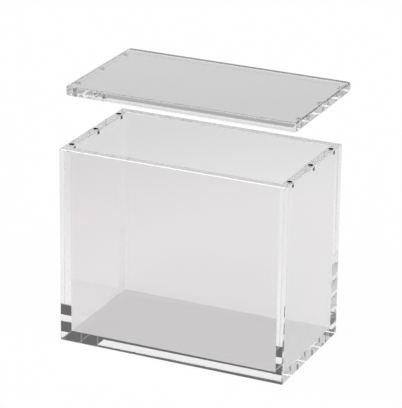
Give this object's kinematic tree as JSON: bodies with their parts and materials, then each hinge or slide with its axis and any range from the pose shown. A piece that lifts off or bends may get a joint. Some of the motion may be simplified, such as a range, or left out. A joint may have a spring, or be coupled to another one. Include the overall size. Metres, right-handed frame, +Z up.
{
  "type": "display case",
  "caption": "Clear acrylic display case: glued walls on a base plate, open at the top, with a flat lift-off lid held on by small disc magnets set flush in the side walls.",
  "frame": {"origin": "centre of the base panel's underside, where the case stands", "axes": "+X to the right along the width, +Y from the front panel to the back panel, +Z up"},
  "size_m": [0.1566, 0.087, 0.1692],
  "materials": {
    "clear_acrylic": "clear cast acrylic sheet with polished edges",
    "black_magnet": "black epoxy coating, satin",
    "nickel_magnet": "bright nickel plating"
  },
  "bodies": {
    "case": {"base_panel": "clear_acrylic", "front_panel": "clear_acrylic", "back_panel": "clear_acrylic", "left_panel": "clear_acrylic", "right_panel": "clear_acrylic", "case_magnet_left_front": "black_magnet", "case_magnet_left_middle": "black_magnet", "case_magnet_left_back": "black_magnet", "case_magnet_right_front": "black_magnet", "case_magnet_right_middle": "black_magnet", "case_magnet_right_back": "black_magnet"},
    "lid": {"lid_panel": "clear_acrylic", "lid_magnet_left_front": "nickel_magnet", "lid_magnet_left_middle": "nickel_magnet", "lid_magnet_left_back": "nickel_magnet", "lid_magnet_right_front": "nickel_magnet", "lid_magnet_right_middle": "nickel_magnet", "lid_magnet_right_back": "nickel_magnet"}
  },
  "joints": [
    {"name": "lid_lift", "type": "slide", "parent": "case", "child": "lid", "axis": [0.1296, 0, 0.9916], "range_m": [-0.03547, 0.1]}
  ]
}
